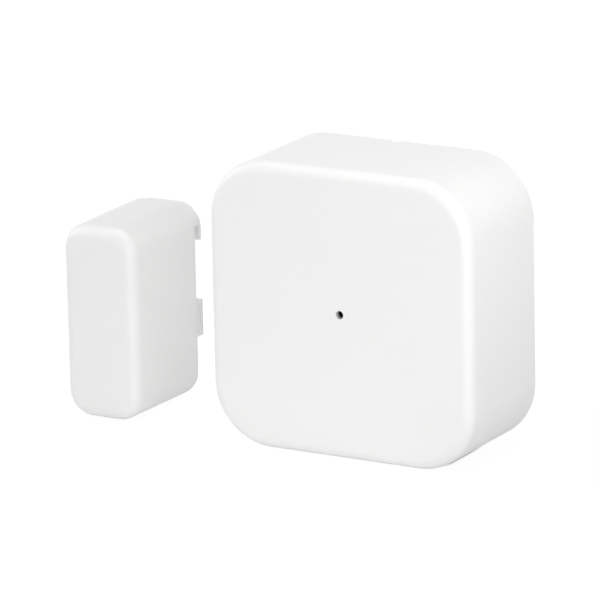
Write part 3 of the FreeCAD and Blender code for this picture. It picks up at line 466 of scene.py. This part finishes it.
finishes = {
    "housing": mouldedPlastic("housingPlastic", shellPlastic, pinholePaintedShade),
    "cover": mouldedPlastic("coverPlastic", shellPlastic),
    "magnetShell": mouldedPlastic("magnetShellPlastic", shadedMagnetPlastic),
    "foam": foamPad("padFoam", foamSettings),
    "board": boardLaminate("boardLaminate", boardSettings),
    "screw": metal("zincScrew", rgb(0.66, 0.67, 0.69), roughness=0.32),
    "glass": clearGlass("reedGlass", glassSettings),
    "lead": metal("tinnedLead", rgb(0.70, 0.68, 0.64), roughness=0.35, brushAxis=2),
    "led": resin("lightLens", rgb(0.80, 0.78, 0.62), roughness=0.25),
    "chip": resin("chipResin", rgb(0.03, 0.03, 0.032), roughness=0.55),
    "crystal": metal("crystalLid", rgb(0.74, 0.74, 0.74), roughness=0.28, brushAxis=0),
    "antenna": endCaps("antennaCeramic", antennaCeramic),
    "chipParts": endCaps("chipPartCeramic", chipPartCeramic),
    "holder": resin("holderNylon", rgb(0.035, 0.035, 0.038), roughness=0.5),
    "contact": metal("springBronze", rgb(0.80, 0.62, 0.33), roughness=0.27, brushAxis=2),
    "cell": metal(
        "cellSteel", cellSettings["colour"], roughness=cellSettings["roughness"], brushAxis=0),
    "cellCan": cellCan("cellCanSteel", cellSettings),
    "solder": metal("solderTin", rgb(0.74, 0.74, 0.75), roughness=0.3),
    "seal": resin("sealRubber", rgb(0.012, 0.012, 0.012), roughness=0.75),
    "gasket": resin("cellGasket", rgb(0.08, 0.08, 0.09), roughness=0.5),
    "button": resin("buttonResin", rgb(0.05, 0.05, 0.05), roughness=0.45),
    "buttonSteel": metal("buttonSteel", rgb(0.76, 0.76, 0.77), roughness=0.25, brushAxis=0),
    "magnet": metal("magnetNickel", rgb(0.62, 0.62, 0.63), roughness=0.18),
}
nodeFinishes = {
    "front_housing": "housing", "rear_cover": "cover", "sensor_adhesive_pad": "foam",
    "circuit_board": "board", "board_screws": "screw", "reed_glass": "glass",
    "reed_lead_upper": "lead", "reed_lead_lower": "lead", "status_led": "led",
    "radio_chip": "chip", "crystal": "crystal", "chip_antenna": "antenna",
    "small_components": "chipParts", "battery_holder": "holder",
    "negative_contact": "contact", "positive_contact": "contact",
    "coin_cell_can": "cellCan", "coin_cell_seal": "gasket", "coin_cell_cap": "cell",
    "button_case": "button", "button_plate": "buttonSteel", "button_dome": "buttonSteel",
    "button_plunger": "button",
    "magnet_cover": "magnetShell", "magnet_base": "magnetShell", "bar_magnet": "magnet",
    "magnet_wall_plate": "magnetShell", "magnet_adhesive_pad": "foam",
}
for nodeName, finishName in nodeFinishes.items():
    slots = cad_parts[nodeName].data.materials
    slots.clear()
    slots.append(finishes[finishName])
print("materials:", len(finishes))


# Small pieces that the solids leave out. They ride on the sensor's body.

def meshFrom(shape, name):
    mesh = bpy.data.meshes.new(name)
    shape.to_mesh(mesh)
    shape.free()
    return mesh


def linkObject(name, data):
    made = bpy.data.objects.new(name, data)
    bpy.context.scene.collection.objects.link(made)
    return made


def addPiece(name, shape, finishName):
    bmesh.ops.recalc_face_normals(shape, faces=shape.faces)
    mesh = meshFrom(shape, name)
    mesh.materials.append(finishes[finishName])
    piece = linkObject(name, mesh)
    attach(piece, "sensor")


def spinProfile(shape, profile, middle, steps):
    # Turns a closed profile of radius and depth about an axis along y. Middle is its x and z.
    x, z = middle
    corners = [shape.verts.new((x + radius, depth, z)) for radius, depth in profile]
    edges = [shape.edges.new(pair) for pair in zip(corners, corners[1:] + corners[:1])]
    bmesh.ops.spin(
        shape, geom=corners + edges, cent=(x, 0, z), axis=(0, 1, 0),
        angle=radians(360), steps=steps, use_merge=True)


def roundEdges(shape, edges, settings):
    bmesh.ops.bevel(
        shape, geom=edges, offset=settings["round"], segments=settings["roundSegments"],
        profile=0.5, affect="EDGES", material=-1)


lightSeal = {
    "middle": pinholeMiddle,
    "front": -0.00795,
    "rear": -0.004,
    "innerRadius": 0.0013,
    "outerRadius": 0.00175,
    "sharpAngle": 60,            # in degrees. Sharper edges are rounded.
    "round": 0.0001,
    "roundSegments": 2,
    "steps": 48,
}


def makeLightSeal(settings):
    # A rubber sleeve in the light well that keeps the light away from the housing
    inner, outer = settings["innerRadius"], settings["outerRadius"]
    front, rear = settings["front"], settings["rear"]
    shape = bmesh.new()
    profile = [(inner, front), (outer, front), (outer, rear), (inner, rear)]
    spinProfile(shape, profile, settings["middle"], settings["steps"])
    limit = radians(settings["sharpAngle"])
    sharp = [edge for edge in shape.edges if edge.calc_face_angle(0) > limit]
    roundEdges(shape, sharp, settings)
    addPiece("light_seal", shape, "seal")


makeLightSeal(lightSeal)

solderJoints = {
    "boardRear": -0.00275,
    "leads": [(-0.0146, 0.011), (-0.0146, 0.029)],
    # radius and height above the board, from the lead outwards and back
    "profile": [
        (0.00027, 0.0), (0.00078, 0.0), (0.00078, 0.00003), (0.00062, 0.00005),
        (0.00046, 0.00013), (0.00034, 0.00028), (0.00029, 0.00048), (0.00027, 0.0005)],
    "steps": 32,
}


def makeSolderJoints(settings):
    # A tinned ring and fillet round each leg of the reed switch, on the back of the board
    shape = bmesh.new()
    rear = settings["boardRear"]
    profile = [(radius, rear + height) for radius, height in settings["profile"]]
    for lead in settings["leads"]:
        spinProfile(shape, profile, lead, settings["steps"])
    addPiece("solder_joints", shape, "solder")


makeSolderJoints(solderJoints)

buttonTerminals = {
    "middle": (0.0131, -0.00263, 0.0069),
    "spacing": (0.0051, 0.0022),     # along x and z
    "size": (0.0008, 0.00024, 0.0007),
    "round": 0.00007,
    "roundSegments": 2,
}


def makeButtonTerminals(settings):
    # Four tinned legs beside the pairing button
    x, y, z = settings["middle"]
    across, up = settings["spacing"]
    shape = bmesh.new()
    for side in (-1, 1):
        for end in (-1, 1):
            place = Vector((x + side * across / 2, y, z + end * up / 2))
            matrix = Matrix.Translation(place) @ Matrix.Diagonal((*settings["size"], 1.0))
            bmesh.ops.create_cube(shape, size=1.0, matrix=matrix)
    roundEdges(shape, shape.edges[:], settings)
    addPiece("button_terminals", shape, "solder")


makeButtonTerminals(buttonTerminals)
print("small pieces made")


# Floor, light and camera

floorSettings = {
    "size": 3.0,
    "colour": rgb(0.85, 0.85, 0.85),
    "speckleSize": 0.004,
    "speckleShade": 0.99,
    "white": 0.9,                # how much of the plain white background it shows
    "glow": 1.06,
}
floorPaintedShadow = {
    # Painted shadow on the floor beneath the housing's low right corner, where the corner curves
    # up off the floor
    "left": 0.0,                 # the patch's sides along x and y
    "right": 0.0143,
    "front": -0.0058,
    "rear": 0.0055,
    "fades": (0.0003, 0.0003, 0.002, 0.004),     # how far inwards it fades in at each side
    "shade": 0.66,               # how much darker it is
}
stripPatch = {
    # A darker strip to the right of the object, which throws less light up at its side
    "left": 0.012,
    "right": 0.05,
    "front": -0.03,
    "rear": 0.03,
    "fades": (0.004, 0.004, 0.004, 0.004),
    "colour": rgb(0.68, 0.68, 0.68),
}


def patchMask(finish, settings):
    # 1 inside the patch and 0 outside, with its fades between
    x, y, _ = finish.axes()
    alongX = [x - settings["left"], settings["right"] - x]
    alongY = [y - settings["front"], settings["rear"] - y]
    mask = 1.0
    for inside, fade in zip(alongX + alongY, settings["fades"]):
        mask = finish.clamp(inside / fade) * mask
    return mask


def makeFloor(settings, gap, strip):
    shape = bmesh.new()
    bmesh.ops.create_grid(shape, x_segments=1, y_segments=1, size=settings["size"])
    mesh = meshFrom(shape, "studioFloor")
    floor = linkObject("studio_floor", mesh)
    finish = Finish("paleFloor", "ShaderNodeMixShader")
    seen = seenDirectly(finish)
    speckle = finish.noise(settings["speckleSize"])
    shaded = tint(settings["colour"], settings["speckleShade"])
    paper = finish.between(speckle, shaded, settings["colour"])
    paper = finish.between(patchMask(finish, strip), paper, strip["colour"])
    matt = finish.node("ShaderNodeBsdfDiffuse", None, {"Color": paper})
    # The floor's white is darkened as painted shadow inside that patch
    level = (1 - patchMask(finish, gap) * gap["shade"]) * settings["glow"]
    white = finish.node("ShaderNodeEmission", None, {"Color": rgb(1, 1, 1), "Strength": level})
    finish.mix(seen * settings["white"], matt, white)
    mesh.materials.append(finish.material)


def seenDirectly(finish):
    # 1 for what the camera sees, also in a reflection or through glass
    ray = finish.tree.nodes.new("ShaderNodeLightPath")
    kinds = ("Is Camera Ray", "Is Glossy Ray", "Is Transmission Ray")
    camera, glossy, through = [Wire(finish, ray.outputs[name]) for name in kinds]
    return 1 - (1 - camera) * (1 - glossy) * (1 - through)


makeFloor(floorSettings, floorPaintedShadow, stripPatch)

worldSettings = {
    "ambient": 0.24,             # soft light from all sides
    "white": 1.0,                # the plain background that the camera sees
}


class WorldFinish(Finish):
    # The world's nodes, built in the same way as a material's
    def __init__(self, name):
        self.world = bpy.data.worlds.new(name)
        self.start(self.world, "ShaderNodeMixShader", "ShaderNodeOutputWorld")


def makeWorld(settings):
    finish = WorldFinish("studioAir")
    soft, white = [
        finish.node("ShaderNodeBackground", None, {"Color": rgb(1, 1, 1), "Strength": strength})
        for strength in (settings["ambient"], settings["white"])]
    finish.mix(seenDirectly(finish), soft, white)
    bpy.context.scene.world = finish.world


makeWorld(worldSettings)
print("floor and background made")

lamps = {
    "top_lamp": {"place": (0.0, -0.05, 0.8), "size": 0.7, "watts": 3.61},
    "left_front_lamp": {"place": (-0.55, -0.8, 0.35), "size": 0.5, "watts": 0.393},
    "near_right_lamp": {
        "place": (0.14, -0.09, 0.07), "size": 0.05, "watts": 0.016, "aim": (0.02, -0.009, 0.03)},
    "edge_lamp": {
        "place": (0.1, 0.0, 0.09), "size": 0.05, "watts": 0.0436, "aim": (0.0, -0.06, 0.12)},
    "low_front_lamp": {"place": (0.4, -0.6, 0.06), "size": 0.1, "watts": 1.94},
    "rear_lamp": {"place": (-0.15, 0.9, 0.06), "size": 0.1, "watts": 2.4},
    # lights the backs without a glint on the magnet cover's rear edge
    "rear_fill_lamp": {"place": (-0.15, 0.9, 0.06), "size": 0.1, "watts": 0.86, "gloss": False},
    "left_lamp": {"place": (-0.8, -0.1, 0.35), "size": 0.5, "watts": 2.32},
}
lampTarget = (-0.01, 0.0, 0.02)      # for lamps without an aim of their own


def makeLamp(name, settings):
    light = bpy.data.lights.new(name, "AREA")
    light.shape = "SQUARE"
    light.size = settings["size"]
    light.energy = settings["watts"]
    lamp = linkObject(name, light)
    lamp.location = settings["place"]
    lamp.visible_glossy = settings.get("gloss", True)
    aim = Vector(settings.get("aim", lampTarget)) - lamp.location
    lamp.rotation_euler = aim.to_track_quat("-Z", "Y").to_euler()


for lampName, lampSettings in lamps.items():
    makeLamp(lampName, lampSettings)
print("lamps:", len(lamps))

cameraSettings = {
    "place": (0.373137, -0.657516, 0.227775),
    "yaw": 30.306,               # degrees, turned left from looking along +Y
    "pitch": 15.353,             # looking down
    "roll": 1.259,
    "focalPixels": 5826.06,      # in a picture 600 pixels wide
    "imageWidth": 600,
    "sensorWidth": 36.0,
    "clip": (0.01, 20.0),
}


def makeCamera(settings):
    data = bpy.data.cameras.new("shop_camera")
    data.sensor_width = settings["sensorWidth"]
    data.lens = settings["focalPixels"] / settings["imageWidth"] * settings["sensorWidth"]
    data.clip_start, data.clip_end = settings["clip"]
    camera = linkObject("shop_camera", data)
    turn = Matrix.Rotation(radians(settings["yaw"]), 4, "Z")
    tilt = Matrix.Rotation(radians(90 - settings["pitch"]), 4, "X")
    roll = Matrix.Rotation(radians(-settings["roll"]), 4, "Z")
    camera.matrix_world = Matrix.Translation(settings["place"]) @ turn @ tilt @ roll
    bpy.context.scene.camera = camera


makeCamera(cameraSettings)
bpy.context.scene.view_settings.view_transform = "Standard"
print("camera placed")
